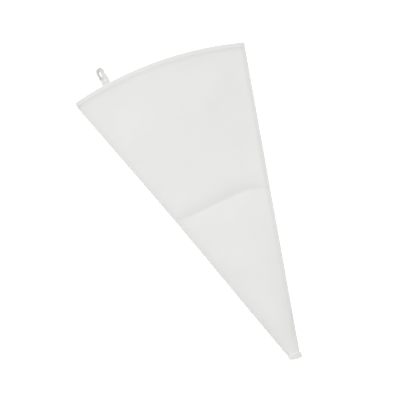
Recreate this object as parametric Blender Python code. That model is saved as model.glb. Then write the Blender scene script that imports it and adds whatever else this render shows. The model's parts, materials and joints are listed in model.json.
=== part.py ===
"""A piping bag lying flat: a long cloth cone with a side seam, hemmed ends and a hanging loop.

Metres, +Z up. The bag lies on its back wall, its mouth towards +Y and its tip towards -Y.
The outline is worked out from the apex where the two slanting sides would meet. Every piece is
then moved so that the origin is at the bottom centre of the whole bag.
The tip half folds over the mouth half at the crease. The mouth half of the front wall is three
strips, which lift together to open the mouth: the middle one most, and the two beside it less.
The hanging loop swings at the rim.
"""

import math

import bmesh
import bpy

# Outline, seen from above, from the apex of the taper
BAG_LENGTH = 0.400  # from the end of the tip to the furthest point of the rim
SIDE_ANGLE = math.radians(15.05)  # each side's slant from the bag's axis
TIP_WIDTH = 0.0155
TIP_END = 0.0214
RIM_RADIUS = 0.4545
RIM_CENTRE = (-0.044, TIP_END + BAG_LENGTH - RIM_RADIUS)  # off the axis, so the rim is skewed
CREASE = 0.236
MOUTH_HALF = TIP_END + BAG_LENGTH - CREASE
TIP_HALF = CREASE - TIP_END

# Cloth
WALL = 0.0006
HEM_WALL = 0.0009
CLEARANCE = 0.0003  # between pieces that touch
HEM_DEPTH = 0.0070
SEAM_WIDTH = 0.0034
SEAM_HEIGHT = 0.0015
FOLD_INSET = 0.0006  # the front wall stops this far inside the folded edge
THREAD_RADIUS = 0.00025
THREAD_LIFT = 0.0002
STITCH_LINE = 0.0060  # from the rim
SEAM_STITCH_LINE = 0.0025  # from the seam's outer edge
TIP_STITCH_LINE = 0.0032  # from the end of the tip
BACK_STITCH_INSET = 0.012  # from each side, where the hollow is deep enough for the thread

# Height of the hollow along the middle of the bag
MOUTH_GAP = 0.0120
CREASE_GAP = 0.0015
BELLY_GAP = 0.0065
TIP_GAP = 0.0052
BELLY_FROM_CREASE = 0.100

# Tip hem
TIP_HEM_LENGTH = 0.0046
TIP_HEM_HEIGHT = 0.0070
TIP_HEM_WALL = 0.0008
TIP_HEM_SIDES = 28

# Hanging loop
LOOP_X = -0.067
LOOP_REACH = 0.0215  # past the rim
LOOP_WIDTH = 0.0084
STRAND_WIDTH = 0.0031
TAPE_THICK = 0.0014
LOOP_DROOP = 0.0011
LOOP_BASE_LENGTH = 0.0044
LOOP_BASE_WIDTH = 0.0092
BARTACK_LENGTH = 0.0012
BARTACK_THICK = 0.0005
BARTACK_INSET = 0.0022  # from the rim

# Joints
FOLD_AXIS_RISE = 0.0004  # above the front wall at the crease
CREASE_SLIT = 0.0003  # from the crease to each wall beside it
MOUTH_AXIS_OFFSET = 0.0006
STRIP_EDGE = 0.058  # each side strip of the front wall starts this far from the bag's axis

# Mesh density
ACROSS = 20
ACROSS_MIDDLE = 12
ACROSS_SIDE = 5
ALONG = 9
BEND = 10

SLOPE = math.tan(SIDE_ANGLE)
CLOTH = (0.80, 0.80, 0.785)
TAPE = (0.72, 0.72, 0.71)
THREAD = (0.62, 0.62, 0.61)


def smooth(t):
    t = min(1.0, max(0.0, t))
    return t * t * (3 - 2 * t)


def left_line(inset):
    """The line x = a + b*y that runs an inset inside the left side."""
    return inset / math.cos(SIDE_ANGLE), -SLOPE


def right_line(inset):
    return -inset / math.cos(SIDE_ANGLE), SLOPE


def between(left, right, share):
    return tuple(p + (q - p) * share for p, q in zip(left, right))


def rim_at(inset):
    """Where a line x = a + b*y meets the rim's arc, an inset inside the rim."""
    radius = RIM_RADIUS - inset

    def end(a, b):
        from_centre = a - RIM_CENTRE[0]
        half_b = b * from_centre - RIM_CENTRE[1]
        c = from_centre**2 + RIM_CENTRE[1] ** 2 - radius**2
        return (-half_b + math.sqrt(half_b**2 - (1 + b * b) * c)) / (1 + b * b)

    return end


def level(y):
    return lambda a, b: y


def lengthways(x):
    """The line that runs along the bag at a distance from its axis."""
    return x, 0.0


def corner(line):
    a, b = line
    y = rim_at(0)(a, b)
    return a + b * y, y


LEFT_CORNER = corner(left_line(0))
RIGHT_CORNER = corner(right_line(0))
LOOP_RIM = rim_at(0)(LOOP_X, 0)
LOOP_END = LOOP_RIM + LOOP_REACH
MIDDLE = ((LEFT_CORNER[0] + RIGHT_CORNER[0]) / 2, (TIP_END + LOOP_END) / 2)


def crown(x, y):
    """Height of the hollow between the walls."""
    from_middle = min(1.0, abs(x) / (SLOPE * y))
    if y > CREASE:
        height = CREASE_GAP + (MOUTH_GAP - CREASE_GAP) * smooth((y - CREASE) / MOUTH_HALF)
        sharpness = 1.5
    else:
        below = CREASE - y
        height = CREASE_GAP + (BELLY_GAP - CREASE_GAP) * smooth(below / BELLY_FROM_CREASE)
        height += (TIP_GAP - BELLY_GAP) * smooth((below - BELLY_FROM_CREASE) / (TIP_HALF - BELLY_FROM_CREASE))
        sharpness = 0.5 + smooth((y - TIP_END) / TIP_HALF)
    return height * (1 - from_middle**2) ** sharpness


def flat(height):
    return lambda x, y: height


def over_hollow(height):
    return lambda x, y: height + crown(x, y)


FRONT_UNDERSIDE = WALL + CLEARANCE
FRONT_TOP = FRONT_UNDERSIDE + WALL
FRONT_HEM_UNDERSIDE = HEM_WALL + CLEARANCE
FRONT_HEM_TOP = FRONT_HEM_UNDERSIDE + HEM_WALL
LOOP_BASE_UNDERSIDE = HEM_WALL + CLEARANCE
LOOP_BASE_TOP = LOOP_BASE_UNDERSIDE + TAPE_THICK

# Axes, all along X, as (x, y, z) from the apex
FOLD_AXIS = (0.0, CREASE, FRONT_TOP + CREASE_GAP + FOLD_AXIS_RISE)
MOUTH_AXIS = (0.0, CREASE + MOUTH_AXIS_OFFSET, FRONT_TOP + CREASE_GAP)
LOOP_AXIS = (LOOP_X, LOOP_RIM + CLEARANCE, LOOP_BASE_TOP + CLEARANCE)
BAG = (MIDDLE[0], MIDDLE[1], 0.0)


def clear_scene():
    for thing in list(bpy.data.objects):
        bpy.data.objects.remove(thing)


def make_axis(name, place):
    """An empty on a joint's axis, for the pieces that turn about it."""
    axis = bpy.data.objects.new(name, None)
    bpy.context.collection.objects.link(axis)
    axis.empty_display_size = 0.02
    axis.location = [p - q for p, q in zip(place, BAG)]
    return axis, place


def make_material(name, colour, roughness):
    material = bpy.data.materials.new(name)
    material.use_nodes = True
    shader = material.node_tree.nodes["Principled BSDF"]
    shader.inputs["Base Color"].default_value = (*colour, 1.0)
    shader.inputs["Roughness"].default_value = roughness
    shader.inputs["Metallic"].default_value = 0.0
    return material


def place_object(name, data, body, colour, roughness=0.6):
    thing = bpy.data.objects.new(name, data)
    bpy.context.collection.objects.link(thing)
    thing.parent = body[0]
    data.materials.append(make_material(name, colour, roughness))
    return thing


def make_solid(name, points, faces, body, colour):
    """One closed solid. The points are measured from the apex, and the mesh from the body's axis."""
    origin = body[1]
    mesh = bpy.data.meshes.new(name)
    mesh.from_pydata([[p - q for p, q in zip(point, origin)] for point in points], [], faces)
    shape = bmesh.new()
    shape.from_mesh(mesh)
    bmesh.ops.recalc_face_normals(shape, faces=shape.faces)
    shape.to_mesh(mesh)
    shape.free()
    mesh.shade_smooth()
    mesh.set_sharp_from_angle(angle=math.radians(40))
    return place_object(name, mesh, body, colour)


def make_sheet(name, lines, ends, heights, body, colour, across=ACROSS, along=ALONG):
    """A sheet of cloth between two slanting lines and two ends, from one height to another."""
    points = []
    for height in heights:
        for i in range(across + 1):
            a, b = between(*lines, i / across)
            near, far = (end(a, b) for end in ends)
            for j in range(along + 1):
                y = near + (far - near) * j / along
                x = a + b * y
                points.append((x, y, height(x, y)))
    row = along + 1
    layer = (across + 1) * row
    faces = []
    for i in range(across):
        for j in range(along):
            quad = [i * row + j, i * row + j + 1, (i + 1) * row + j + 1, (i + 1) * row + j]
            faces.append(quad)
            faces.append([layer + k for k in quad])
    rim = [i * row for i in range(across + 1)]
    rim += [across * row + j for j in range(1, row)]
    rim += [i * row + along for i in range(across - 1, -1, -1)]
    rim += [j for j in range(along - 1, 0, -1)]
    for p, q in zip(rim, rim[1:] + rim[:1]):
        faces.append([p, q, layer + q, layer + p])
    return make_solid(name, points, faces, body, colour)


def make_thread(name, points, body):
    """A line of stitching: a thin round thread along the points."""
    curve = bpy.data.curves.new(name, "CURVE")
    curve.dimensions = "3D"
    curve.bevel_depth = THREAD_RADIUS
    curve.bevel_resolution = 1
    curve.use_fill_caps = True
    spline = curve.splines.new("POLY")
    spline.points.add(len(points) - 1)
    for knot, point in zip(spline.points, points):
        knot.co = (*(p - q for p, q in zip(point, body[1])), 1.0)
    return place_object(name, curve, body, THREAD, 0.7)


def hem_thread(name, lines, height, body):
    """Stitching along a hem between two lines."""
    points = []
    for i in range(ACROSS + 1):
        a, b = between(*lines, i / ACROSS)
        y = rim_at(STITCH_LINE)(a, b)
        x = a + b * y
        points.append((x, y, height(x, y) + THREAD_LIFT + THREAD_RADIUS))
    return make_thread(name, points, body)


def seam_thread(near, far, body, name):
    """Stitching along the side seam."""
    a, b = left_line(SEAM_STITCH_LINE)
    ends = [end(a, b) for end in (near, far)]
    height = SEAM_HEIGHT + THREAD_LIFT + THREAD_RADIUS
    points = []
    for i in range(ALONG + 1):
        y = ends[0] + (ends[1] - ends[0]) * i / ALONG
        points.append((a + b * y, y, height))
    return make_thread(name, points, body)


def ring(half_width, half_height, y):
    points = []
    for i in range(TIP_HEM_SIDES):
        turn = math.tau * (i + 0.5) / TIP_HEM_SIDES
        points.append((half_width * math.sin(turn), y, TIP_HEM_HEIGHT / 2 + half_height * math.cos(turn)))
    return points


def make_tip_hem(body):
    """The turned-up end of the tip: a flattened ring that a nozzle pushes through."""
    half_width, half_height = TIP_WIDTH / 2, TIP_HEM_HEIGHT / 2
    inner = (half_width - TIP_HEM_WALL, half_height - TIP_HEM_WALL)
    near, far = TIP_END, TIP_END + TIP_HEM_LENGTH
    loops = [ring(half_width, half_height, near), ring(half_width, half_height, far)]
    loops += [ring(*inner, far), ring(*inner, near)]
    points = [point for loop in loops for point in loop]
    faces = []
    for k in range(4):
        start, after = k * TIP_HEM_SIDES, (k + 1) % 4 * TIP_HEM_SIDES
        for i in range(TIP_HEM_SIDES):
            j = (i + 1) % TIP_HEM_SIDES
            faces.append([start + i, start + j, after + j, after + i])
    return make_solid("tip_hem", points, faces, body, CLOTH)


def make_tip_stitching(body):
    """Stitching over the top and round the sides of the tip hem."""
    out = THREAD_LIFT + THREAD_RADIUS
    low_end = math.radians(130)
    points = []
    for i in range(TIP_HEM_SIDES + 1):
        turn = low_end * (2 * i / TIP_HEM_SIDES - 1)
        x = (TIP_WIDTH / 2 + out) * math.sin(turn)
        z = TIP_HEM_HEIGHT / 2 + (TIP_HEM_HEIGHT / 2 + out) * math.cos(turn)
        points.append((x, TIP_END + TIP_STITCH_LINE, z))
    return make_thread("tip_stitching", points, body)


def loop_route():
    """The middle of the tape, up one leg, round the end and down the other, with its outward side."""
    spread = (LOOP_WIDTH - STRAND_WIDTH) / 2
    start = LOOP_AXIS[1] + CLEARANCE
    turn_centre = LOOP_END - LOOP_WIDTH / 2
    leg = [start + (turn_centre - start) * i / BEND for i in range(BEND)]
    route = [((LOOP_X - spread, y), (-1.0, 0.0)) for y in leg]
    for i in range(BEND + 1):
        turn = math.pi * (1 - i / BEND)
        out = (math.cos(turn), math.sin(turn))
        route.append(((LOOP_X + spread * out[0], turn_centre + spread * out[1]), out))
    route += [((LOOP_X + spread, y), (1.0, 0.0)) for y in reversed(leg)]
    return route


def make_loop(body):
    """The free part of the hanging loop: a tape bent round in its own plane, lying on the table."""
    points = []
    for (x, y), out in loop_route():
        share = (y - LOOP_AXIS[1]) / (LOOP_END - LOOP_AXIS[1])
        low = LOOP_BASE_UNDERSIDE - LOOP_DROOP * smooth(share)
        for side, rise in ((-1, 0), (1, 0), (1, TAPE_THICK), (-1, TAPE_THICK)):
            reach = side * STRAND_WIDTH / 2
            points.append((x + reach * out[0], y + reach * out[1], low + rise))
    count = len(points) // 4
    faces = [[0, 1, 2, 3], [4 * count - 4 + k for k in (3, 2, 1, 0)]]
    for i in range(count - 1):
        for k in range(4):
            m = (k + 1) % 4
            faces.append([4 * i + k, 4 * i + m, 4 * i + 4 + m, 4 * i + 4 + k])
    return make_solid("hanging_loop", points, faces, body, TAPE)


def make_patch(name, length, width, start, heights, body, colour):
    """A small piece of tape or thread on the back hem, square to the bag's axis."""
    lines = [(LOOP_X - width / 2, 0.0), (LOOP_X + width / 2, 0.0)]
    ends = (lambda a, b: rim_at(start + length)(a, b), lambda a, b: rim_at(start)(a, b))
    return make_sheet(name, lines, ends, [flat(height) for height in heights], body, colour, 4, 2)


def make_back(bag):
    """The mouth half of the back wall, with its hem and the side seam."""
    crease_edge = level(CREASE + CREASE_SLIT)
    wall_end, hem_start, hem_end = rim_at(HEM_DEPTH + CLEARANCE), rim_at(HEM_DEPTH), rim_at(0)
    back = (left_line(SEAM_WIDTH + CLEARANCE), right_line(0))
    seam = (left_line(0), left_line(SEAM_WIDTH))
    stitched = (left_line(BACK_STITCH_INSET), right_line(BACK_STITCH_INSET))

    seam_faces = (flat(0), flat(SEAM_HEIGHT))
    wall_faces, hem_faces = (flat(0), flat(WALL)), (flat(0), flat(HEM_WALL))
    make_sheet("back_wall_mouth_half", back, (crease_edge, wall_end), wall_faces, bag, CLOTH, along=1)
    make_sheet("back_hem", back, (hem_start, hem_end), hem_faces, bag, CLOTH, along=1)
    make_sheet("side_seam_mouth_half", seam, (crease_edge, hem_end), seam_faces, bag, CLOTH, 1, 4)
    seam_thread(level(CREASE + 2 * SEAM_WIDTH), rim_at(SEAM_WIDTH), bag, "side_seam_stitching_mouth_half")
    hem_thread("back_hem_stitching", stitched, flat(HEM_WALL), bag)


def make_front_strip(side, lines, stitched, across, body):
    """One strip of the mouth half of the front wall, with its stretch of hem and stitching."""
    lift_edge = level(CREASE + MOUTH_AXIS_OFFSET + CREASE_SLIT)
    wall_ends, hem_ends = (lift_edge, rim_at(HEM_DEPTH + CLEARANCE)), (rim_at(HEM_DEPTH), rim_at(0))
    wall_faces = (over_hollow(FRONT_UNDERSIDE), over_hollow(FRONT_TOP))
    hem_faces = (over_hollow(FRONT_HEM_UNDERSIDE), over_hollow(FRONT_HEM_TOP))
    make_sheet(f"front_wall_{side}", lines, wall_ends, wall_faces, body, CLOTH, across)
    make_sheet(f"front_hem_{side}", lines, hem_ends, hem_faces, body, CLOTH, across, 1)
    hem_thread(f"front_hem_stitching_{side}", stitched, over_hollow(FRONT_HEM_TOP), body)


def make_front(left, middle, right):
    """The three strips of the front wall, from the seam to the folded edge."""
    cuts = [lengthways(side * STRIP_EDGE) for side in (-1, 1)]
    inside = [lengthways(side * (STRIP_EDGE - CLEARANCE)) for side in (-1, 1)]
    seam_side, fold_side = left_line(SEAM_WIDTH + CLEARANCE), right_line(FOLD_INSET)
    thread_start, thread_end = left_line(SEAM_WIDTH * 2), right_line(SEAM_WIDTH)
    make_front_strip("left", (seam_side, cuts[0]), (thread_start, cuts[0]), ACROSS_SIDE, left)
    make_front_strip("middle", inside, inside, ACROSS_MIDDLE, middle)
    make_front_strip("right", (cuts[1], fold_side), (cuts[1], thread_end), ACROSS_SIDE, right)


def make_loop_fixing(bag):
    """The two ends of the tape, side by side inside the back hem, and the thread across them."""
    base_heights = (LOOP_BASE_UNDERSIDE, LOOP_BASE_TOP)
    make_patch("loop_sewn_end", LOOP_BASE_LENGTH, LOOP_BASE_WIDTH, 0, base_heights, bag, TAPE)
    thread_heights = (LOOP_BASE_TOP + THREAD_LIFT, LOOP_BASE_TOP + THREAD_LIFT + BARTACK_THICK)
    make_patch("loop_bartack", BARTACK_LENGTH, LOOP_BASE_WIDTH, BARTACK_INSET, thread_heights, bag, THREAD)


def make_tip_half(tip):
    """The walls and the seam between the crease and the tip, and the tip's hem."""
    tip_edge = level(TIP_END + TIP_HEM_LENGTH + CLEARANCE)
    crease_edge = level(CREASE - CREASE_SLIT)
    back = (left_line(SEAM_WIDTH + CLEARANCE), right_line(0))
    over = (left_line(SEAM_WIDTH + CLEARANCE), right_line(FOLD_INSET))
    seam = (left_line(0), left_line(SEAM_WIDTH))
    seam_faces = (flat(0), flat(SEAM_HEIGHT))
    front_faces = (over_hollow(FRONT_UNDERSIDE), over_hollow(FRONT_TOP))

    back_faces = (flat(0), flat(WALL))
    make_sheet("back_wall_tip_half", back, (tip_edge, crease_edge), back_faces, tip, CLOTH, along=1)
    make_sheet("front_wall_tip_half", over, (tip_edge, crease_edge), front_faces, tip, CLOTH)
    make_sheet("side_seam_tip_half", seam, (tip_edge, crease_edge), seam_faces, tip, CLOTH, 1, 4)
    seam_thread(tip_edge, level(CREASE - 2 * SEAM_WIDTH), tip, "side_seam_stitching_tip_half")
    make_tip_hem(tip)
    make_tip_stitching(tip)


def main():
    clear_scene()
    bag = (None, BAG)
    tip = make_axis("fold_axis", FOLD_AXIS)
    sides = ("left", "middle", "right")
    left, middle, right = (make_axis(f"mouth_axis_{side}", MOUTH_AXIS) for side in sides)
    loop = make_axis("loop_axis", LOOP_AXIS)
    make_back(bag)
    make_front(left, middle, right)
    make_loop_fixing(bag)
    make_loop(loop)
    make_tip_half(tip)


main()
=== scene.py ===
"""How the piping bag looks: its cloth, hems, seam, stitching and hanging loop, the light and the camera.

Every shape is worked out in metres from the apex where the bag's two sides would meet, with the
mouth towards +Y and the bag lying on its back wall. to_frame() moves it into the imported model's frame.
"""

import json
import math

import bmesh
import bpy
import numpy as np
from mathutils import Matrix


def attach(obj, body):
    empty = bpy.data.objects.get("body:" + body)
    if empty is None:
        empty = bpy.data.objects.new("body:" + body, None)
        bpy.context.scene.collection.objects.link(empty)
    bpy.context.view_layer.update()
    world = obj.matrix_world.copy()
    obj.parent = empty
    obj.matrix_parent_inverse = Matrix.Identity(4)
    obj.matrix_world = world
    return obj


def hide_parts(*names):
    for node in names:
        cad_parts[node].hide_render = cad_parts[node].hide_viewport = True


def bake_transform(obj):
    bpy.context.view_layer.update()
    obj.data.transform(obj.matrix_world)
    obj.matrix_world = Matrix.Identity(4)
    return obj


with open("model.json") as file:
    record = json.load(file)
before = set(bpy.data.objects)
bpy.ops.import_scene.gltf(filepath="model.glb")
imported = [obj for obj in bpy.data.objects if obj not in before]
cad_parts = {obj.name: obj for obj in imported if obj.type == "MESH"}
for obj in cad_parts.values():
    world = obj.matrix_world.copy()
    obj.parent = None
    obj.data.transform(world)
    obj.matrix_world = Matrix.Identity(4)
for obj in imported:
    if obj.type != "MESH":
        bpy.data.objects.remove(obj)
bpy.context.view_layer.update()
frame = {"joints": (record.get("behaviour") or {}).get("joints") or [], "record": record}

# Outline, as the CAD model has it
SIDE_ANGLE = math.radians(15.05)
SLOPE = math.tan(SIDE_ANGLE)
BAG_LENGTH = 0.400
TIP_END = 0.0214
RIM_RADIUS = 0.4545
RIM_CENTRE = (-0.044, TIP_END + BAG_LENGTH - RIM_RADIUS)
CREASE = 0.236
MOUTH_LINE = CREASE + 0.0006  # where the mouth half of the front wall starts to lift
MOUTH_HALF = TIP_END + BAG_LENGTH - CREASE
TIP_HALF = CREASE - TIP_END

# Cloth
WALL = 0.0006
HEM_THICK = 0.0010
FRONT_TOP = 0.0015  # top of the front wall where it lies on the back wall
EDGE_ROUND = 0.0009
EDGE_MID = 0.00075
SEAM_WIDTH = 0.0034
SEAM_INSIDE = 0.0033
HEM_DEPTH = 0.0070
MOUTH_GAP = 0.0105
CREASE_GAP = 0.0024
BELLY_GAP = 0.0029
BELLY_FROM_CREASE = 0.100
CROWN_SHARPNESS = 1.5  # power of the swell's curve across the bag; 1 is a parabola
TIP_GAP = 0.0034
TIP_ROUND_LENGTH = 0.060  # the bag goes from flat to tubular over this length
TIP_MID = 0.0030
PUFF = 0.0015
PUFF_START = 0.0008
PUFF_WIDTH = 0.0048
SEAM_PUFF = 0.0018
SEAM_PUFF_WIDTH = 0.0045
PUFF_FADE = 0.35  # the folded side's puff loses this share towards the tip
PUFF_FADE_LENGTH = 0.1
SEAM_BOW = 0.0007  # the sewn side bows in and out by this much
SEAM_BOW_PERIOD = 0.36
SIDE_SPREAD = 0.0003  # soft cloth lies this much wider than the CAD model on each side

# Unevenness of the cloth
UNDULATION = 0.0011  # height of each wave for its length
UNDULATION_WAVES = 7
UNDULATION_SHORTEST = 0.030  # wavelength of the first wave
UNDULATION_STEP = 0.011  # each wave is this much longer than the one before
UNDULATION_TURN = 2.4  # radians between the directions of one wave and the next
UNDULATION_PHASE = 1.7
PUCKER = 0.00010
PUCKER_PITCH = 0.0087
PUCKER_WANDER = 1.3
PUCKER_WANDER_LENGTH = 0.013
PUCKER_START = 0.001
PUCKER_RAMP = 0.003
PUCKER_REACH = 0.006
HEM_STEP = 0.00022  # rise where the cloth runs onto the hem
HEM_STEP_BEFORE = 0.0012  # the rise starts this far below the hem
HEM_STEP_LENGTH = 0.0014
HEM_SLOPE = 0.0015
HEM_SLOPE_REACH = 0.013
HEM_EDGE_RISE = 0.0005

# Crease
VALLEY_TO_TIP = 0.0050  # the deepest line of the crease, from the fold's axis towards the tip
VALLEY_DEPTH = 0.0019
VALLEY_FADE = 0.45  # how slowly it gets shallower towards the sides
VALLEY_NARROWING = 0.4
VALLEY_MOUTH_WIDTH = 0.0042
VALLEY_TIP_WIDTH = 0.040
BEND_X = 0.035  # the crease turns towards the tip beyond this
BEND_SOFTNESS = 0.004
BEND_SLOPE = 0.47

# Stitching
STITCH_PITCH = 0.0029
STITCH_LENGTH = 0.0024
THREAD_RADIUS = 0.00021
FINE_THREAD_RADIUS = THREAD_RADIUS * 0.8
STITCH_SHARES = (0.0, 0.10, 0.35, 0.65, 0.90, 1.0)  # places along one stitch
STITCH_RISES = (-0.00030, 0.00004, 0.00013, 0.00013, 0.00004, -0.00030)
STITCH_FULLNESS = (0.6, 0.9, 1.0, 1.0, 0.9, 0.6)
STITCH_SIDE_MARGIN = 0.0012
HEM_STITCH_LINE = 0.0060
SEAM_STITCH_LINE = 0.0025
TIP_STITCH_LINE = 0.0032
GROOVE_DEPTH = 0.00018
GROOVE_WIDTH = 0.0008
GROOVE_DIMPLE = 0.25  # the depth swings each way by this share of its greatest value, once a stitch
HEM_EDGE_RADIUS = 0.0006
HEM_THIN_EDGE = 0.006  # the hem thins to one wall within this distance of the sides
HEM_DEPTHS = (HEM_DEPTH, 0.0066, 0.0063, HEM_STITCH_LINE, 0.0057, 0.0053, 0.0046, 0.0036, 0.0025)
HEM_EDGE_DEPTHS = (0.0015, 0.0008, 0.0004, 0.00015)  # round its folded edge

# Side seam
SEAM_EDGE_INSETS = (0.0, 0.00006, 0.00022, 0.00045, 0.0007, 0.0010, 0.0015)
SEAM_TOP_INSETS = (0.0019, 0.0022, SEAM_STITCH_LINE, 0.0028, 0.0031, SEAM_WIDTH)
SEAM_ROWS = 501
SEAM_RIPPLE = 0.00013  # the wraps pull the edge in and out
SEAM_LONG_RIPPLE = 0.00010
SEAM_LONG_PITCH = 0.0113
SEAM_RIPPLE_REACH = 0.002
SEAM_RAISED = 0.00018
SEAM_RAISED_ROUND = 0.0010
SEAM_RAISED_END = 0.0004
SEAM_BULK = 0.0009  # extra thickness at the mouth corner
SEAM_BULK_START = 0.405
SEAM_BULK_LENGTH = 0.010
SEAM_RUN = 0.38  # the seam's length, near enough for rounding its end
SEAM_END_ROUND = 0.0016
SEAM_END_THICK = 0.25
SEAM_STITCH_END = 0.4135
WRAP_END = 0.4125
WRAP_STEPS = 12
WRAP_REACH = 0.0019
WRAP_SLANT = 0.0014
WRAP_BULGE = 0.00024
WRAP_ON_TOP = 0.00010
WRAP_UNDER = 0.00016
WRAP_CLOTH_LIFT = 0.00016
WRAP_SUNK_TOP = -0.00025
WRAP_SUNK_UNDER = 0.00035

# Tip collar
COLLAR_LENGTH = 0.0048
COLLAR_OVERLAP = 0.0006  # how far the walls run under the collar
BODY_START = TIP_END + COLLAR_LENGTH - COLLAR_OVERLAP
THREAD_START = TIP_END + COLLAR_LENGTH + 0.001
COLLAR_SIDES = 96
COLLAR_FLOOR_GAP = 0.0001
COLLAR_BELLY = 0.0003
COLLAR_NARROWING = 0.0003  # how much narrower it is where it meets the walls
COLLAR_EDGE_RADIUS = 0.0006
COLLAR_INNER_EDGE_RADIUS = 0.0005
TIP_STITCHES_REACH = math.pi * 0.97  # they stop short of meeting underneath
TIP_STITCHES_LOW = 0.0004
TIP_STITCH_PITCH = 0.0026
TIP_STITCH_LENGTH = 0.0021
COLLAR_BEYOND = 0.0012  # how far its worn end stands past the tip's nominal end
COLLAR_HALF_WIDTH = 0.0077
COLLAR_HALF_HEIGHT = 0.0030
COLLAR_WALL = 0.0009
COLLAR_CORNER = 0.0010  # how far its end falls back at the sides
COLLAR_OFFSET = 0.0001
COLLAR_SKEW = math.tan(math.radians(12))

# Hanging loop
LOOP_X = -0.067
LOOP_REACH = 0.0225
LOOP_JOIN = 0.0003  # where the free tape takes over from its sewn ends, past the rim
LOOP_SPREAD = 0.00275  # from the loop's middle to the middle of each leg
LOOP_SWAY = 0.0008
LEFT_LEG_TILT = 50
TOP_TILT = 22
RIGHT_LEG_TILT = 4
TAPE_WIDTH = 0.0052
TAPE_THICK = 0.0008
TAPE_REST = 0.0016  # height of the tape's middle at the rim
LOOP_END_LENGTH = 0.0044
LOOP_END_SPREAD = 0.0027
LEG_TO_TOP = (0.36, 0.14)  # where along the tape the tilt changes, and over what share of it
TOP_TO_LEG = (0.50, 0.18)
TAPE_DROP = 0.4  # share of the loop over which the tape comes down to the table
TAPE_POINTS = 91
TAPE_SIDES = 20
TAPE_FLATNESS = 0.45
TAPE_ROUNDNESS = 0.7
TAPE_GAP = 0.0001  # from the tape to the table, and from its sewn ends to the free tape
TWIST_START = 0.0066  # length of tape that leaves the rim flat
TWIST_LENGTH = 0.0050
BARTACK_INSET = 0.0022
BARTACK_WIDTH = 0.0092
BARTACK_ZIGZAG = 0.0006
BARTACK_TURNS = 36
BARTACK_LIFT = 0.00012

# Motion
FOLD_ZONE = 0.0105  # length of cloth that bends when the tip half folds over

# Spacing of the cloth's rows of points
FINE_ROWS = 0.0008
TIP_ROWS = 0.0006
COARSE_ROWS = 0.003
TIP_STRETCH_END = 0.08
MOUTH_ROWS = 0.0035
NEAR_HEM = 0.010
CREASE_FINE = 0.024
FOLD_MARGIN = 0.002  # fine rows start this far before the cloth that bends
NEAR_CREASE_COUNT = 25

# Picture
CAMERA_HEIGHT = 3.0
CAMERA_SENSOR = 36.0
FIELD = 0.488
VIEW_CENTRE = (-0.0212, 0.0128)
VIEW_TURN = math.radians(-25.2)

JOINTS = {joint["name"]: joint for joint in frame["joints"]}
FOLD_POINT = JOINTS["centre_fold"]["pos_m"]
APEX = (FOLD_POINT[0], FOLD_POINT[1] - CREASE, 0.0)
SIDE_COS = math.cos(SIDE_ANGLE)
SIDE_SIN = math.sin(SIDE_ANGLE)
UP = np.array((0.0, 0.0, 1.0))
RIGHT_OUT = np.array((SIDE_COS, -SIDE_SIN, 0.0))


def smooth(t):
    t = np.clip(t, 0.0, 1.0)
    return t * t * (3 - 2 * t)


def dome(q):
    """A quarter circle: 0 at 0, 1 at 1 and beyond."""
    return np.sqrt(1 - (1 - np.clip(q, 0.0, 1.0)) ** 2)


def to_frame(points):
    """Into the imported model's frame, a little wider and with the sewn side no longer quite straight."""
    points = np.array(points, float)
    x, y = points[..., 0], points[..., 1]
    leftness = np.clip(-x / (SLOPE * np.maximum(y, TIP_END)), 0.0, 1.0)
    bow = SEAM_BOW * leftness * np.cos(math.tau * (y - CREASE) / SEAM_BOW_PERIOD)
    points[..., 0] += bow + SIDE_SPREAD * x / (SLOPE * np.maximum(y, TIP_END))
    return points + np.array(APEX)


def from_left(x, y):
    return (SLOPE * y + x) * SIDE_COS


def from_right(x, y):
    return (SLOPE * y - x) * SIDE_COS


def from_rim(x, y):
    return RIM_RADIUS - np.hypot(x - RIM_CENTRE[0], y - RIM_CENTRE[1])


def edge_round(y):
    """Radius of the rounded side edges: small where the bag is flat, half its width at the tip."""
    flatness = smooth((y - TIP_END) / TIP_ROUND_LENGTH)
    return EDGE_ROUND * flatness + SLOPE * y * SIDE_COS * (1 - flatness)


def edge_mid(y):
    flatness = smooth((y - TIP_END) / TIP_ROUND_LENGTH)
    return EDGE_MID * flatness + TIP_MID * (1 - flatness)


def crown(x, y):
    """How far the front wall swells above the back wall."""
    from_middle = np.clip(np.abs(x) / (SLOPE * y), 0.0, 1.0)
    mouth = CREASE_GAP + (MOUTH_GAP - CREASE_GAP) * smooth((y - CREASE) / MOUTH_HALF)
    below = CREASE - y
    tip = CREASE_GAP + (BELLY_GAP - CREASE_GAP) * smooth(below / BELLY_FROM_CREASE)
    tip = tip + (TIP_GAP - BELLY_GAP) * smooth((below - BELLY_FROM_CREASE) / (TIP_HALF - BELLY_FROM_CREASE))
    height = np.where(y > CREASE, mouth, tip)
    sharpness = CROWN_SHARPNESS * smooth((y - TIP_END) / TIP_ROUND_LENGTH)
    return height * np.clip(1 - from_middle**2, 1e-9, 1.0) ** sharpness


def crease_line(x):
    beyond_bend = BEND_SOFTNESS * np.log1p(np.exp((x - BEND_X) / BEND_SOFTNESS))
    return CREASE - VALLEY_TO_TIP - BEND_SLOPE * beyond_bend


def valley(x, y):
    """The pressed crease: the cloth falls to it slowly from the tip and rises steeply towards the mouth."""
    d = y - crease_line(x)
    from_middle = np.clip(np.abs(x) / (SLOPE * y), 0.0, 1.0)
    depth = VALLEY_DEPTH * (1 - from_middle**2) ** VALLEY_FADE
    above = np.maximum(d, 0) / (VALLEY_MOUTH_WIDTH * (1 - VALLEY_NARROWING * from_middle**2))
    mouth_side = (1 + above) * np.exp(-above)
    below = np.minimum(d, 0)
    return -depth * np.where(d > 0, mouth_side, np.exp(below / VALLEY_TIP_WIDTH))


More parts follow.
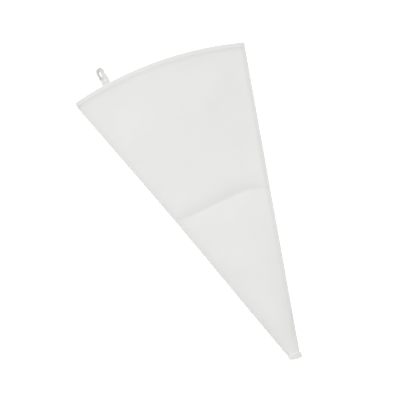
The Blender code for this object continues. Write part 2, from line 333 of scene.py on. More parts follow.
def undulation(x, y):
    """Gentle unevenness of cloth that has been washed and folded away."""
    total = 0.0
    for k in range(UNDULATION_WAVES):
        turn = UNDULATION_TURN * k
        wavelength = UNDULATION_SHORTEST + UNDULATION_STEP * k
        along = (x * math.cos(turn) + y * math.sin(turn)) / wavelength
        total = total + wavelength * np.sin(math.tau * along + UNDULATION_PHASE * k * k)
    from_middle = np.clip(np.abs(x) / (SLOPE * y), 0.0, 1.0)
    return UNDULATION * total * (1 - from_middle**4)


def side_puckers(x, y):
    """Small gathers beside the sewn seam."""
    s = from_left(x, y)
    wave = np.sin(math.tau * y / PUCKER_PITCH + PUCKER_WANDER * np.sin(y / PUCKER_WANDER_LENGTH))
    return PUCKER * wave * np.exp(-s / PUCKER_REACH) * smooth((s - PUCKER_START) / PUCKER_RAMP)


def hem_rise(x, y):
    """The cloth rises a little where it runs onto the thicker hem."""
    d = from_rim(x, y)
    step = HEM_STEP * smooth((HEM_DEPTH + HEM_STEP_BEFORE - d) / HEM_STEP_LENGTH)
    slope = HEM_SLOPE * np.exp(-np.maximum(d - HEM_DEPTH, 0) / HEM_SLOPE_REACH)
    return step + slope + HEM_EDGE_RISE * np.clip(1 - d / HEM_DEPTH, 0.0, 1.0)


def stitch_groove(distance, along):
    """The dip along a row of stitching, deepest where the needle went in."""
    dip = np.exp(-(distance / GROOVE_WIDTH) ** 2)
    dimples = 1 - GROOVE_DIMPLE + GROOVE_DIMPLE * np.cos(math.tau * along / STITCH_PITCH)
    return -GROOVE_DEPTH * dip * dimples


def front_height(x, y):
    """Top of the front wall."""
    fade = 1 - PUFF_FADE * smooth((CREASE - y) / PUFF_FADE_LENGTH)
    puff = PUFF * smooth((from_right(x, y) - PUFF_START) / PUFF_WIDTH) * fade
    puff = puff + SEAM_PUFF * (1 - np.exp(-np.maximum(from_left(x, y) - SEAM_WIDTH, 0) / SEAM_PUFF_WIDTH))
    flatness = smooth((y - TIP_END) / TIP_ROUND_LENGTH)
    relief = flatness * (puff + undulation(x, y) + side_puckers(x, y)) + valley(x, y) + hem_rise(x, y)
    base = FRONT_TOP + crown(x, y) + relief
    near = np.minimum(from_left(x, y), from_right(x, y))
    return edge_mid(y) + (base - edge_mid(y)) * dome(near / edge_round(y))


def back_height(x, y):
    """Underside of the back wall."""
    near = np.minimum(from_left(x, y), from_right(x, y))
    return edge_mid(y) * (1 - dome(near / edge_round(y)))


def closeness(y):
    """Shrinks the spacing of the edge columns where the bag is narrow."""
    return np.clip((SLOPE * y - 0.006) / 0.030, 0.1, 1.0)


class Columns:
    """Lines that run along the bag, each a share of the way between its left line and its right line.

    The left line is inset from the seam's side and the right one from the folded side, or either is the axis.
    """

    def __init__(self, rows, part="whole"):
        """rows: (share, left inset, left extra, right extra, angle round the folded edge)"""
        self.share, self.left, self.left_extra, self.right_extra, self.angle = np.array(rows).T
        self.part = part

    def x(self, y):
        left = -SLOPE * y + (self.left + self.left_extra * closeness(y)) / SIDE_COS
        rounded = edge_round(y) * (1 - np.cos(self.angle))
        right = SLOPE * y - (rounded + self.right_extra * closeness(y)) / SIDE_COS
        if self.part == "left":
            right = 0.0
        if self.part == "right":
            left = 0.0
        return left + (right - left) * self.share

    def straight(self):
        """(a, b) of x = a + b*y, true of every column in the mouth half."""
        level, step = 0.25, 0.1
        x1, x2 = self.x(level), self.x(level + step)
        b = (x2 - x1) / step
        return x1 - level * b, b

    def rim(self, inset):
        """y where each column meets the line an inset inside the rim."""
        a, b = self.straight()
        shifted = a - RIM_CENTRE[0]
        half_b = b * shifted - RIM_CENTRE[1]
        c = shifted**2 + RIM_CENTRE[1] ** 2 - (RIM_RADIUS - inset) ** 2
        return (-half_b + np.sqrt(half_b**2 - (1 + b * b) * c)) / (1 + b * b)


EXTRAS = (0.0, 0.0004, 0.0009, 0.0016, 0.0026, 0.0040, 0.0058)
FULL = math.pi / 2


def left_rows():
    return [(0.0, SEAM_INSIDE, extra, EXTRAS[-1], FULL) for extra in EXTRAS]


def right_rows(round_steps=7):
    rows = [(1.0, SEAM_INSIDE, EXTRAS[-1], extra, FULL) for extra in reversed(EXTRAS)]
    angles = [FULL * (1 - i / round_steps) for i in range(1, round_steps + 1)]
    return rows + [(1.0, SEAM_INSIDE, EXTRAS[-1], 0.0, angle) for angle in angles]


def middle_rows(count):
    return [(i / count, SEAM_INSIDE, EXTRAS[-1], EXTRAS[-1], FULL) for i in range(1, count)]


def axis_row(share):
    return (share, SEAM_INSIDE, EXTRAS[-1], EXTRAS[-1], FULL)


def spaced(start, end, step):
    count = max(2, math.ceil(abs(end - start) / step))
    return list(np.linspace(start, end, count + 1))


def crease_rows(start, end, fine, coarse, fine_from):
    """Levels from start to end, close together beyond fine_from."""
    return spaced(start, fine_from, coarse)[:-1] + spaced(fine_from, end, fine)


def wall_grid(columns, y, front, thickness=WALL):
    """Outer and inner surface points of a wall, for each row of y and each column."""
    x = np.array([columns.x(level) for level in y])
    y = np.array([np.broadcast_to(level, x.shape[1]) for level in y])
    height = front_height(x, y) if front else back_height(x, y)
    outer = np.stack((x, y, height), axis=-1)
    out = np.cos(columns.angle)[None, :, None] * RIGHT_OUT
    up = np.sin(columns.angle)[None, :, None] * UP * (1 if front else -1)
    thickness = np.broadcast_to(thickness, x.shape)[..., None]
    return outer, outer - thickness * (out + up)


def add_object(name, points, faces, uv, material, sharp=50):
    """One closed mesh in the frame, its faces facing out, its UV map in units of 100 mm."""
    mesh = bpy.data.meshes.new(name)
    mesh.from_pydata([tuple(p) for p in to_frame(points)], [], faces)
    layer = mesh.uv_layers.new(name="cloth")
    corners = np.zeros(len(mesh.loops), dtype=np.int32)
    mesh.loops.foreach_get("vertex_index", corners)
    layer.data.foreach_set("uv", (np.asarray(uv)[corners] * 10).ravel())
    shape = bmesh.new()
    shape.from_mesh(mesh)
    bmesh.ops.recalc_face_normals(shape, faces=shape.faces)
    shape.to_mesh(mesh)
    shape.free()
    mesh.shade_smooth()
    mesh.set_sharp_from_angle(angle=math.radians(sharp))
    mesh.materials.append(material)
    thing = bpy.data.objects.new(name, mesh)
    bpy.context.scene.collection.objects.link(thing)
    return thing


def sheet_object(name, outer, inner, material):
    """A closed sheet between two grids of points."""
    rows, columns = outer.shape[:2]
    points = np.concatenate((outer.reshape(-1, 3), inner.reshape(-1, 3)))
    layer = rows * columns
    faces = []
    for i in range(rows - 1):
        for j in range(columns - 1):
            near = i * columns + j
            quad = [near, near + 1, near + columns + 1, near + columns]
            faces.append(quad)
            faces.append([layer + k for k in reversed(quad)])
    border = list(range(columns))
    border += [i * columns + columns - 1 for i in range(1, rows)]
    border += [(rows - 1) * columns + j for j in range(columns - 2, -1, -1)]
    border += [i * columns for i in range(rows - 2, 0, -1)]
    for p, q in zip(border, border[1:] + border[:1]):
        faces.append([q, p, layer + p, layer + q])
    return add_object(name, points, faces, points[:, :2], material)


def rings_to_mesh(rings):
    """Points and faces of a closed tube through rings of equal count, capped at both ends."""
    count, sides = rings.shape[:2]
    faces = [list(range(sides)), [(count - 1) * sides + k for k in reversed(range(sides))]]
    for i in range(count - 1):
        for k in range(sides):
            m = (k + 1) % sides
            faces.append([i * sides + k, i * sides + m, (i + 1) * sides + m, (i + 1) * sides + k])
    return rings.reshape(-1, 3), faces


def ring_uv(rings):
    """Across and along coordinates for a tube of rings."""
    around = np.linalg.norm(np.roll(rings, -1, axis=1) - rings, axis=-1)
    across = np.cumsum(around, axis=1) - around
    centres = rings.mean(axis=1)
    along = np.concatenate(([0.0], np.cumsum(np.linalg.norm(np.diff(centres, axis=0), axis=-1))))
    along = np.broadcast_to(along[:, None], across.shape)
    return np.stack((across, along), axis=-1).reshape(-1, 2)


def tube_object(name, several, material, sharp=50):
    """One object made of capped tubes, each an array of rings."""
    points, faces, uv = [], [], []
    start = 0
    for rings in several:
        some_points, some_faces = rings_to_mesh(rings)
        points.append(some_points)
        uv.append(ring_uv(rings))
        faces += [[start + k for k in face] for face in some_faces]
        start += len(some_points)
    return add_object(name, np.concatenate(points), faces, np.concatenate(uv), material, sharp)


# Cloth pieces


def columns_of(part, count):
    """Columns across the whole bag, or across one half of it as far as its axis."""
    middle = middle_rows(count)
    if part == "left":
        return Columns(left_rows() + middle + [axis_row(1.0)], part)
    if part == "right":
        return Columns([axis_row(0.0)] + middle + right_rows(), part)
    return Columns(left_rows() + middle + right_rows())


def make_back(cloth):
    columns = columns_of("whole", 36)
    hem = columns.rim(HEM_DEPTH)
    fold_from = CREASE - FOLD_ZONE - FOLD_MARGIN
    levels = crease_rows(BODY_START, fold_from, COARSE_ROWS, COARSE_ROWS, TIP_STRETCH_END)[:-1]
    levels += spaced(fold_from, MOUTH_LINE, FINE_ROWS)[:-1]
    levels += [MOUTH_LINE + (hem - MOUTH_LINE) * i / 30 for i in range(31)]
    piece = sheet_object("bag_back", *wall_grid(columns, levels, False), cloth)
    blend_fold(piece)
    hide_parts("back_wall_mouth_half", "back_wall_tip_half")
    return piece


def make_front_tip(cloth):
    columns = columns_of("whole", 60)
    levels = crease_rows(BODY_START, MOUTH_LINE, TIP_ROWS, COARSE_ROWS, CREASE - CREASE_FINE)
    piece = sheet_object("bag_front_tip", *wall_grid(columns, levels, True), cloth)
    blend_fold(piece)
    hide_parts("front_wall_tip_half")
    return piece


def mouth_shares():
    """Shares of the way from the crease to the hem, close together at both ends."""
    near = [TIP_ROWS * i for i in range(NEAR_CREASE_COUNT)]
    far = spaced(near[-1], MOUTH_HALF - NEAR_HEM, MOUTH_ROWS)[1:]
    end = spaced(far[-1], MOUTH_HALF - HEM_DEPTH, FINE_ROWS)[1:]
    distances = np.array(near + far + end)
    return distances / distances[-1]


def make_front_half(side, cloth):
    columns = columns_of(side, 36)
    hem = columns.rim(HEM_DEPTH)
    levels = [MOUTH_LINE + (hem - MOUTH_LINE) * share for share in mouth_shares()]
    piece = sheet_object(f"bag_front_{side}", *wall_grid(columns, levels, True), cloth)
    blend_lift(piece, side)
    return piece


def blend_fold(piece):
    x, y, _ = to_frame((0.0, CREASE, 0.0))
    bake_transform(piece)


def blend_lift(piece, side):
    """Bakes the piece's transform into its mesh; the point at the side's end of the crease is worked out, but
    nothing reads it.
    """
    sign = -1 if side == "left" else 1
    x, y, _ = to_frame((sign * SLOPE * CREASE, CREASE, 0.0))
    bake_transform(piece)


# Hems


def hem_rings(columns, front):
    """Rings round the folded hem, one for each column across the bag."""
    depths = [*HEM_DEPTHS, *HEM_EDGE_DEPTHS, 0.0]
    y = [columns.rim(depth) for depth in depths]
    x = np.array([columns.x(level) for level in y])
    edge = np.minimum(from_left(x[0], y[0]), from_right(x[0], y[0]))
    thickness = WALL + (HEM_THICK - WALL) * smooth(edge / HEM_THIN_EDGE)
    outer, inner = wall_grid(columns, y, front, thickness)
    depths = np.array(depths)[:, None, None]
    roundness = dome(depths / HEM_EDGE_RADIUS)
    along = np.cumsum(np.concatenate(([0.0], np.hypot(np.diff(x[-1]), np.diff(y[-1])))))
    groove = stitch_groove(depths[..., 0] - HEM_STITCH_LINE, along[None, :])
    middle, half = (outer + inner) / 2, (outer - inner) / 2
    unit = half / np.linalg.norm(half, axis=-1, keepdims=True)
    top = middle + half * roundness
    if front:
        top = top + unit * groove[..., None]
    bottom = middle - half * roundness
    loop = np.concatenate((top, bottom[-2::-1]))
    return np.swapaxes(loop, 0, 1)


def hem_columns(side):
    """Columns close enough together to show each stitch's dimple."""
    return columns_of("whole", 120) if side == "back" else columns_of(side, 130)


def make_hem(side, cloth):
    front = side != "back"
    rings = hem_rings(hem_columns(side), front)
    name = f"front_hem_cloth_{side}" if front else "back_hem_cloth"
    return tube_object(name, [rings], cloth)


# Thread


def round_rings(points, radii, sides=6):
    """Rings of a round tube along points that run mostly level."""
    points = np.asarray(points, float)
    ahead = np.gradient(points, axis=0)
    ahead /= np.linalg.norm(ahead, axis=1, keepdims=True)
    across = np.cross(ahead, UP)
    length = np.linalg.norm(across, axis=1, keepdims=True)
    across = np.where(length > 1e-6, across / np.maximum(length, 1e-9), np.array((1.0, 0.0, 0.0)))
    above = np.cross(across, ahead)
    turns = np.arange(sides) * math.tau / sides
    radii = np.broadcast_to(radii, len(points))[:, None, None]
    ring = np.cos(turns)[None, :, None] * across[:, None] + np.sin(turns)[None, :, None] * above[:, None]
    return points[:, None] + radii * ring


def stitches(path, normals=None, pitch=STITCH_PITCH, length=STITCH_LENGTH):
    """A tube for each stitch along a path, its ends sunk in the cloth."""
    path = np.asarray(path, float)
    normals = np.broadcast_to(UP, path.shape) if normals is None else np.asarray(normals)
    run = np.concatenate(([0.0], np.cumsum(np.linalg.norm(np.diff(path, axis=0), axis=1))))
    rises = np.array(STITCH_RISES)[:, None]
    radii = np.array(STITCH_FULLNESS) * THREAD_RADIUS
    several = []
    for i in range(int((run[-1] - length) / pitch) + 1):
        at = i * pitch + np.array(STITCH_SHARES) * length
        place = np.stack([np.interp(at, run, path[:, k]) for k in range(3)], axis=1)
        out = np.stack([np.interp(at, run, normals[:, k]) for k in range(3)], axis=1)
        several.append(round_rings(place + rises * out, radii))
    return several


def hem_stitch_path(columns, front):
    y = columns.rim(HEM_STITCH_LINE)
    x = columns.x(y)
    edge = np.minimum(from_left(x, y), from_right(x, y))
    if front:
        z = front_height(x, y) - GROOVE_DEPTH
    else:
        z = back_height(x, y) + WALL + (HEM_THICK - WALL) * smooth(edge / HEM_THIN_EDGE)
    keep = edge > STITCH_SIDE_MARGIN
    return np.stack((x, y, z), axis=1)[keep]


def make_hem_stitches(side, thread):
    front = side != "back"
    path = hem_stitch_path(hem_columns(side), front)
    name = f"front_hem_stitches_{side}" if front else "back_hem_stitches"
    return tube_object(name, stitches(path), thread)


# Side seam


def seam_sections():
    """Insets from the left edge, up from the inside bottom, round the edge and back along the top."""
    insets = [*SEAM_EDGE_INSETS, *SEAM_TOP_INSETS]
    return list(reversed(insets[1:])), insets


def seam_bulk(y):
    """Extra thickness where the seam's ends are turned in and sewn over twice."""
    return smooth((y - SEAM_BULK_START) / SEAM_BULK_LENGTH)


def make_seam(cloth):
    under, over = seam_sections()
    y_end = Columns([(0.0, s, 0.0, 0.0, FULL) for s in under + over]).rim(0.0)
    s = np.array(under + over)
    rings = []
    for share in np.linspace(0, 1, SEAM_ROWS):
        y = BODY_START + (y_end - BODY_START) * share
        ripple = SEAM_RIPPLE * np.sin(math.tau * y / STITCH_PITCH / 2)
        ripple = ripple + SEAM_LONG_RIPPLE * np.sin(math.tau * y / SEAM_LONG_PITCH)
        x = -SLOPE * y + (s - ripple * (1 - smooth(s / SEAM_RIPPLE_REACH))) / SIDE_COS
        flat_x = -SLOPE * y + s / SIDE_COS
        top, bottom = front_height(flat_x, y), back_height(flat_x, y)
        groove = stitch_groove(s - SEAM_STITCH_LINE, y / SIDE_COS)
        raised = (SEAM_RAISED + SEAM_BULK * seam_bulk(y)) * dome(s / SEAM_RAISED_ROUND)
        raised = raised * smooth((SEAM_WIDTH + SEAM_RAISED_END / 2 - s) / SEAM_RAISED_END)
        top = top + raised + groove
        z = np.where(np.arange(len(s)) < len(under), bottom, top)
        closing = float(dome((1 - share) * SEAM_RUN / SEAM_END_ROUND))
        middle = (top + bottom) / 2
        z = middle + (z - middle) * max(SEAM_END_THICK, np.min(closing))
        rings.append(np.stack((x, y, z), axis=1))
    piece = tube_object("side_seam_cloth", [np.array(rings)], cloth)
    blend_fold(piece)
    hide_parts("side_seam_mouth_half", "side_seam_tip_half")
    return piece


def wrap_point(y0, k):
    """Point k of one wrap: in from under the seam, round its edge and over it, its ends in the cloth."""
    t = k / WRAP_STEPS
    reach = WRAP_REACH * abs(2 * t - 1)
    y = y0 + (t - 0.5) * WRAP_SLANT
    x = -SLOPE * y + reach / SIDE_COS
    is_end = k in (0, WRAP_STEPS)
    if t > 0.5:
        rounded = float(dome(reach / SEAM_RAISED_ROUND))
        z = float(front_height(x, y)) + WRAP_CLOTH_LIFT * rounded
        z += SEAM_BULK * float(seam_bulk(y)) * rounded
        z += WRAP_SUNK_TOP if is_end else WRAP_ON_TOP
    else:
        z = max(float(back_height(x, y)), 0.0) + (WRAP_SUNK_UNDER if is_end else WRAP_UNDER)
    outwards = WRAP_BULGE * (1 - abs(2 * t - 1)) ** 2
    return (x - outwards * SIDE_COS, y - outwards * SIDE_SIN, z)


def edge_wraps():
    """The overlocking thread that winds round the seam's raw edge."""
    turns = int((WRAP_END - THREAD_START) / SIDE_COS / STITCH_PITCH)
    several = []
    for i in range(turns):
        y0 = THREAD_START + i * STITCH_PITCH * SIDE_COS
        path = [wrap_point(y0, k) for k in range(WRAP_STEPS + 1)]
        several.append(round_rings(path, FINE_THREAD_RADIUS, 5))
    return several


def make_seam_stitches(thread):
    y = np.linspace(THREAD_START, SEAM_STITCH_END, 500)
    x = -SLOPE * y + SEAM_STITCH_LINE / SIDE_COS
    z = front_height(x, y) + SEAM_RAISED + SEAM_BULK * seam_bulk(y) - GROOVE_DEPTH
    several = stitches(np.stack((x, y, z), axis=1)) + edge_wraps()
    piece = tube_object("side_seam_stitches", several, thread)
    blend_fold(piece)
    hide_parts("side_seam_stitching_mouth_half", "side_seam_stitching_tip_half")
    return piece


# Tip


def collar_section(turn, depth):
    """A point on the tip collar's outer surface: turn round the opening, depth back from its end."""
    swell = 0.00012 * np.sin(7 * turn + 1.0) + 0.00018 * np.cos(3 * turn)
    belly = COLLAR_BELLY * np.sin(math.pi * np.clip(depth / COLLAR_LENGTH, 0, 1))
    width = COLLAR_HALF_WIDTH + swell + belly - COLLAR_NARROWING * smooth(depth / COLLAR_LENGTH)
    height = COLLAR_HALF_HEIGHT + swell * 0.5 + belly * 0.5 - COLLAR_FLOOR_GAP
    x = COLLAR_OFFSET + width * np.sin(turn)
    z = COLLAR_HALF_HEIGHT + COLLAR_FLOOR_GAP + height * np.cos(turn)
    beyond = COLLAR_BEYOND - COLLAR_CORNER * np.abs(np.sin(turn)) ** 6 + COLLAR_SKEW * x
    y = TIP_END + depth - beyond * (1 - depth / COLLAR_LENGTH)
    return np.stack((x, y, z), axis=-1)


def make_collar(cloth):
    """The turned-in end of the tip: a soft double ring of cloth, open through the middle."""
    turns = np.arange(COLLAR_SIDES) * math.tau / COLLAR_SIDES
    depths = [0.0, 0.0002, 0.0006, 0.0012, 0.0019, 0.0026, 0.0030, TIP_STITCH_LINE, 0.0034, 0.0038]
    depths += [0.0043, 0.0047, COLLAR_LENGTH]
    outer, inner = [], []
    for depth in depths:
        surface = collar_section(turns, depth)
        centre = surface.mean(axis=0)
        inward = centre - surface
        inward[:, 1] = 0.0
        inward /= np.linalg.norm(inward, axis=1, keepdims=True)
        inner_end = dome((COLLAR_LENGTH - depth + 0.0001) / COLLAR_INNER_EDGE_RADIUS)
        roundness = float(dome(depth / COLLAR_EDGE_RADIUS) * inner_end)
        middle = surface + inward * COLLAR_WALL / 2
        groove = -stitch_groove(depth - TIP_STITCH_LINE, turns * COLLAR_HALF_WIDTH)[:, None]
        outer.append(middle - inward * COLLAR_WALL / 2 * roundness + inward * groove)
        inner.append(middle + inward * COLLAR_WALL / 2 * roundness)
    loops = np.array(outer + inner[::-1])
    count, sides = loops.shape[:2]
    faces = []
    for i in range(count):
        for k in range(sides):
            m, j = (k + 1) % sides, (i + 1) % count
            faces.append([i * sides + k, i * sides + m, j * sides + m, j * sides + k])
    around = np.broadcast_to(turns * COLLAR_HALF_WIDTH, (count, sides))
    uv = np.stack((around, loops[..., 1]), axis=-1).reshape(-1, 2)
    piece = add_object("tip_collar", loops.reshape(-1, 3), faces, uv, cloth)
    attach(piece, "tip_half")
    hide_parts("tip_hem")
    return piece


def make_tip_stitches(thread):
    turns = np.linspace(-TIP_STITCHES_REACH, TIP_STITCHES_REACH, 160)
    path = collar_section(turns, TIP_STITCH_LINE)
    out = np.stack((np.sin(turns), np.zeros_like(turns), np.cos(turns)), axis=1)
    path = path - out * (GROOVE_DEPTH - 0.00005)
    path[:, 2] = np.maximum(path[:, 2], TIP_STITCHES_LOW)
    several = stitches(path, out, TIP_STITCH_PITCH, TIP_STITCH_LENGTH)
    piece = tube_object("tip_stitches", several, thread)
    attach(piece, "tip_half")
    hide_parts("tip_stitching")
    return piece


# Hanging loop


def ribbon_rings(points, flat_ways, width, thick):
    """Rings of a tape with rounded edges; flat_ways says which way its width runs at each point."""
    points, flat_ways = np.asarray(points, float), np.asarray(flat_ways, float)
    ahead = np.gradient(points, axis=0)
    ahead /= np.linalg.norm(ahead, axis=1, keepdims=True)
    across = flat_ways - (flat_ways * ahead).sum(axis=1, keepdims=True) * ahead
    across /= np.linalg.norm(across, axis=1, keepdims=True)
    above = np.cross(across, ahead)
    turns = np.arange(TAPE_SIDES) * math.tau / TAPE_SIDES
    wide = np.sign(np.cos(turns)) * np.abs(np.cos(turns)) ** TAPE_FLATNESS * width / 2
    high = np.sign(np.sin(turns)) * np.abs(np.sin(turns)) ** TAPE_ROUNDNESS * thick / 2
    return points[:, None] + wide[None, :, None] * across[:, None] + high[None, :, None] * above[:, None]


def loop_rim_y():
    return RIM_CENTRE[1] + math.sqrt(RIM_RADIUS**2 - (LOOP_X - RIM_CENTRE[0]) ** 2)


def make_loop(tape):
    """A tape that leaves the hem flat, turns on edge up its left leg and lies flat again down its right."""
    start = loop_rim_y() + LOOP_JOIN
    turn_centre = loop_rim_y() + LOOP_REACH - LOOP_SPREAD - TAPE_WIDTH / 2
    leg = turn_centre - start
    total = 2 * leg + math.pi * LOOP_SPREAD
    points, ways = [], []
    for run in np.linspace(0, total, TAPE_POINTS):
        heading = np.clip((run - leg) / LOOP_SPREAD, 0.0, math.pi)
        x = -LOOP_SPREAD * math.cos(heading)
        y = turn_centre + LOOP_SPREAD * math.sin(heading) - max(leg - run, run - (total - leg), 0.0)
        along = (y - start) / (turn_centre + LOOP_SPREAD - start)
        away = float(smooth(along / TAPE_DROP))
        x = x + LOOP_SWAY * math.sin(math.tau * along)
        up, down = [smooth((run / total - at) / over) for at, over in (LEG_TO_TOP, TOP_TO_LEG)]
        turned = LEFT_LEG_TILT + (TOP_TILT - LEFT_LEG_TILT) * up + (RIGHT_LEG_TILT - TOP_TILT) * down
        tilt = math.radians(float(turned * smooth((run - TWIST_START) / TWIST_LENGTH)))
        outward = np.array((-math.cos(heading), math.sin(heading), 0.0))
        low = TAPE_THICK / 2 * math.cos(tilt) + TAPE_WIDTH / 2 * math.sin(tilt) + TAPE_GAP
        points.append((LOOP_X + x, y, TAPE_REST * (1 - away) + low * away))
        ways.append(math.cos(tilt) * outward + math.sin(tilt) * UP)
    rings = ribbon_rings(points, ways, TAPE_WIDTH, TAPE_THICK)
    piece = tube_object("loop_tape_free", [rings], tape)
    x, y, _ = to_frame((LOOP_X, start, 0.0))
    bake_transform(piece)
    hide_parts("hanging_loop")
    return piece


def make_loop_ends(tape, thread):
    """The tape's two ends, side by side inside the mouth, and the zigzag that holds them."""
    rim = loop_rim_y()
    z = TAPE_REST
    several = []
    for side in (-1, 1):
        x = LOOP_X + side * LOOP_END_SPREAD
        points = [(x, y, z) for y in np.linspace(rim - LOOP_END_LENGTH, rim + LOOP_JOIN - TAPE_GAP, 9)]
        several.append(ribbon_rings(points, [(1.0, 0.0, 0.0)] * 9, TAPE_WIDTH, TAPE_THICK))
    ends = tube_object("loop_tape_ends", several, tape)
    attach(ends, "root")
    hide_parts("loop_sewn_end")
    zigzag = []
    for i in range(BARTACK_TURNS + 1):
        x = LOOP_X - BARTACK_WIDTH / 2 + BARTACK_WIDTH * i / BARTACK_TURNS
        y = rim - BARTACK_INSET + BARTACK_ZIGZAG * (1 if i % 2 else -1)
        zigzag.append((x, y, z + TAPE_THICK / 2 + BARTACK_LIFT))
    rings = round_rings(zigzag, FINE_THREAD_RADIUS)
    bartack = tube_object("loop_bartack_thread", [rings], thread)
    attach(bartack, "root")
    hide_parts("loop_bartack")
    return ends, bartack


# Materials


def node(tree, kind, **inputs):
    made = tree.nodes.new(kind)
    for name, value in inputs.items():
        made.inputs[name.replace("_", " ")].default_value = value
    return made


def maths(tree, operation, a, b=None):
    made = tree.nodes.new("ShaderNodeMath")
    made.operation = operation
    for socket, value in zip(made.inputs, (a, b)):
        if value is None:
            continue
        if isinstance(value, (int, float)):
            socket.default_value = value
        else:
            tree.links.new(value, socket)
    return made.outputs[0]


def uv_parts(tree):
    """Sockets of the UV map, in metres."""
    coordinates = tree.nodes.new("ShaderNodeUVMap")
    coordinates.uv_map = "cloth"
    separate = tree.nodes.new("ShaderNodeSeparateXYZ")
    tree.links.new(coordinates.outputs[0], separate.inputs[0])
    return coordinates.outputs[0], separate.outputs[0], separate.outputs[1]


def noise(tree, vector, scale, detail=3.0, roughness=0.55):
    made = node(tree, "ShaderNodeTexNoise", Scale=scale, Detail=detail, Roughness=roughness)
    tree.links.new(vector, made.inputs["Vector"])
    return made.outputs["Fac"]


def weave(tree, u, v, pitch):
    """Height of a plain weave: threads going over and under each other."""
    per_unit = math.pi * 0.1 / pitch
    across = maths(tree, "SINE", maths(tree, "MULTIPLY", u, per_unit))
    along = maths(tree, "SINE", maths(tree, "MULTIPLY", v, per_unit))
    over = maths(tree, "MULTIPLY", across, along)
    ribs = maths(tree, "ADD", maths(tree, "ABSOLUTE", across), maths(tree, "ABSOLUTE", along))
    return maths(tree, "ADD", over, maths(tree, "MULTIPLY", ribs, 0.5))


def mixed_colour(tree, factor, dark, light):
    ramp = tree.nodes.new("ShaderNodeValToRGB")
    ramp.color_ramp.elements[0].position = 0.3
    ramp.color_ramp.elements[1].position = 0.7
    ramp.color_ramp.elements[0].color = (*dark, 1)
    ramp.color_ramp.elements[1].color = (*light, 1)
    tree.links.new(factor, ramp.inputs[0])
    return ramp.outputs[0]


def cloth_material(name, colour, spread, pitch, bump, roughness, sheen, coat):
    """Woven cloth with mottled colour, a fine weave and slubs, a little sheen and a thin coat."""
    material = bpy.data.materials.new(name)
    material.use_nodes = True
    tree = material.node_tree
    shader = tree.nodes["Principled BSDF"]
    vector, u, v = uv_parts(tree)
    patches = noise(tree, vector, 2.2)
    slubs = noise(tree, vector, 60.0, 4.0)
    tone = maths(tree, "ADD", maths(tree, "MULTIPLY", patches, 0.6), maths(tree, "MULTIPLY", slubs, 0.4))
    dark = [c * (1 - spread) for c in colour]
    light = [min(1.0, c * (1 + spread)) for c in colour]
    tree.links.new(mixed_colour(tree, tone, dark, light), shader.inputs["Base Color"])
    rough = maths(tree, "ADD", maths(tree, "MULTIPLY", slubs, 0.16), roughness - 0.08)
    tree.links.new(rough, shader.inputs["Roughness"])
    shader.inputs["Sheen Weight"].default_value = sheen
    shader.inputs["Sheen Roughness"].default_value = 0.5
    shader.inputs["Coat Weight"].default_value = coat
    shader.inputs["Coat Roughness"].default_value = 0.45
    shader.inputs["Specular IOR Level"].default_value = 0.3
    height = maths(tree, "ADD", weave(tree, u, v, pitch), maths(tree, "MULTIPLY", slubs, 1.2))
    relief = node(tree, "ShaderNodeBump", Strength=bump, Distance=0.00006)
    tree.links.new(height, relief.inputs["Height"])
    tree.links.new(relief.outputs[0], shader.inputs["Normal"])
    return material


def thread_material(name, colour):
    """Spun thread: fine twisted plies across its length and a matte surface."""
    material = bpy.data.materials.new(name)
    material.use_nodes = True
    tree = material.node_tree
    shader = tree.nodes["Principled BSDF"]
    vector, u, v = uv_parts(tree)
    slant = maths(tree, "ADD", maths(tree, "MULTIPLY", u, 900.0), maths(tree, "MULTIPLY", v, 1500.0))
    plies = maths(tree, "SINE", slant)
    fuzz = noise(tree, vector, 180.0, 3.0)
    tone = maths(tree, "ADD", maths(tree, "MULTIPLY", plies, 0.15), fuzz)
    dark, light = [c * 0.90 for c in colour], [c * 1.06 for c in colour]
    tree.links.new(mixed_colour(tree, tone, dark, light), shader.inputs["Base Color"])
    rough = maths(tree, "ADD", maths(tree, "MULTIPLY", fuzz, 0.2), 0.6)
    tree.links.new(rough, shader.inputs["Roughness"])
    shader.inputs["Sheen Weight"].default_value = 0.2
    relief = node(tree, "ShaderNodeBump", Strength=0.5, Distance=0.00005)
    tree.links.new(maths(tree, "ADD", plies, fuzz), relief.inputs["Height"])
    tree.links.new(relief.outputs[0], shader.inputs["Normal"])
    return material


# Surroundings


def make_floor():
    material = bpy.data.materials.new("floor_white")
    material.use_nodes = True
    shader = material.node_tree.nodes["Principled BSDF"]
    shader.inputs["Base Color"].default_value = (0.96, 0.96, 0.96, 1)
    shader.inputs["Roughness"].default_value = 0.9
    shader.inputs["Specular IOR Level"].default_value = 0.0
    shader.inputs["Emission Color"].default_value = (1, 1, 1, 1)
    shader.inputs["Emission Strength"].default_value = 0.45
    mesh = bpy.data.meshes.new("floor")
    reach = 6.0
    corners = [(-reach, -reach), (reach, -reach), (reach, reach), (-reach, reach)]
    mesh.from_pydata([(x, y, -0.0002) for x, y in corners], [], [(0, 1, 2, 3)])
    mesh.materials.append(material)
    floor = bpy.data.objects.new("floor", mesh)
    bpy.context.scene.collection.objects.link(floor)


def make_area_light(name, azimuth, elevation, distance, size, power):
    light = bpy.data.lights.new(name, "AREA")
    light.shape = "DISK"
    light.size = size
    light.energy = power
    thing = bpy.data.objects.new(name, light)
    a, e = math.radians(azimuth), math.radians(elevation)
    place = np.array((math.cos(e) * math.cos(a), math.cos(e) * math.sin(a), math.sin(e))) * distance
    thing.location = place
    thing.rotation_euler = (math.pi / 2 - e, 0, a + math.pi / 2)
    bpy.context.scene.collection.objects.link(thing)


def make_world(strength):
    world = bpy.data.worlds.new("studio")
    world.use_nodes = True
    background = world.node_tree.nodes["Background"]
    background.inputs["Color"].default_value = (1, 1, 1, 1)
    background.inputs["Strength"].default_value = strength
    bpy.context.scene.world = world


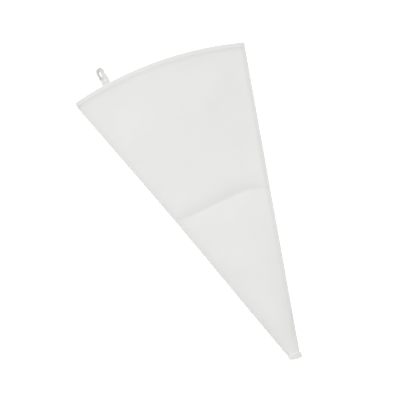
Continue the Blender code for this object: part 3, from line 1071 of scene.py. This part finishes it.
def make_camera():
    data = bpy.data.cameras.new("camera")
    data.sensor_width = CAMERA_SENSOR
    data.lens = CAMERA_SENSOR * CAMERA_HEIGHT / FIELD
    camera = bpy.data.objects.new("camera", data)
    camera.location = (*VIEW_CENTRE, CAMERA_HEIGHT)
    camera.rotation_euler = (0, 0, VIEW_TURN)
    bpy.context.scene.collection.objects.link(camera)
    bpy.context.scene.camera = camera


def main():
    slots = {m["slot"]: m["base_color"] for m in frame["record"]["materials"]}
    cloth = cloth_material(
        "coated_cloth", slots["coated_cloth"], spread=0.018, pitch=0.00045,
        bump=0.35, roughness=0.55, sheen=0.15, coat=0.12,
    )
    tape = cloth_material(
        "loop_tape", slots["loop_tape"], spread=0.04, pitch=0.00055,
        bump=0.8, roughness=0.8, sheen=0.25, coat=0.0,
    )
    thread = thread_material("thread", slots["thread"])
    back = make_back(cloth)
    tip = make_front_tip(cloth)
    halves, hems, rows = [], [], []
    stands_for = {"left": ["left", "middle"], "right": ["right"]}
    for side, nodes in stands_for.items():
        half, hem, row = make_front_half(side, cloth), make_hem(side, cloth), make_hem_stitches(side, thread)
        for piece in (hem, row):
            blend_lift(piece, side)
        for name in nodes:
            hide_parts(f"front_wall_{name}")
            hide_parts(f"front_hem_{name}")
            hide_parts(f"front_hem_stitching_{name}")
        halves.append(half)
        hems.append(hem)
        rows.append(row)
    back_hem, back_row = make_hem("back", cloth), make_hem_stitches("back", thread)
    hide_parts("back_hem")
    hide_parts("back_hem_stitching")
    for piece in (back_hem, back_row):
        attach(piece, "root")
    seam, seam_row = make_seam(cloth), make_seam_stitches(thread)
    collar, tip_row = make_collar(cloth), make_tip_stitches(thread)
    loop = make_loop(tape)
    ends, bartack = make_loop_ends(tape, thread)
    make_floor()
    make_world(0.38)
    make_area_light("key", azimuth=96, elevation=57, distance=6.0, size=3.2, power=229)
    make_area_light("overhead", azimuth=200, elevation=80, distance=6.0, size=4.5, power=49)
    make_camera()
    bpy.context.scene.view_settings.view_transform = "Standard"


main()
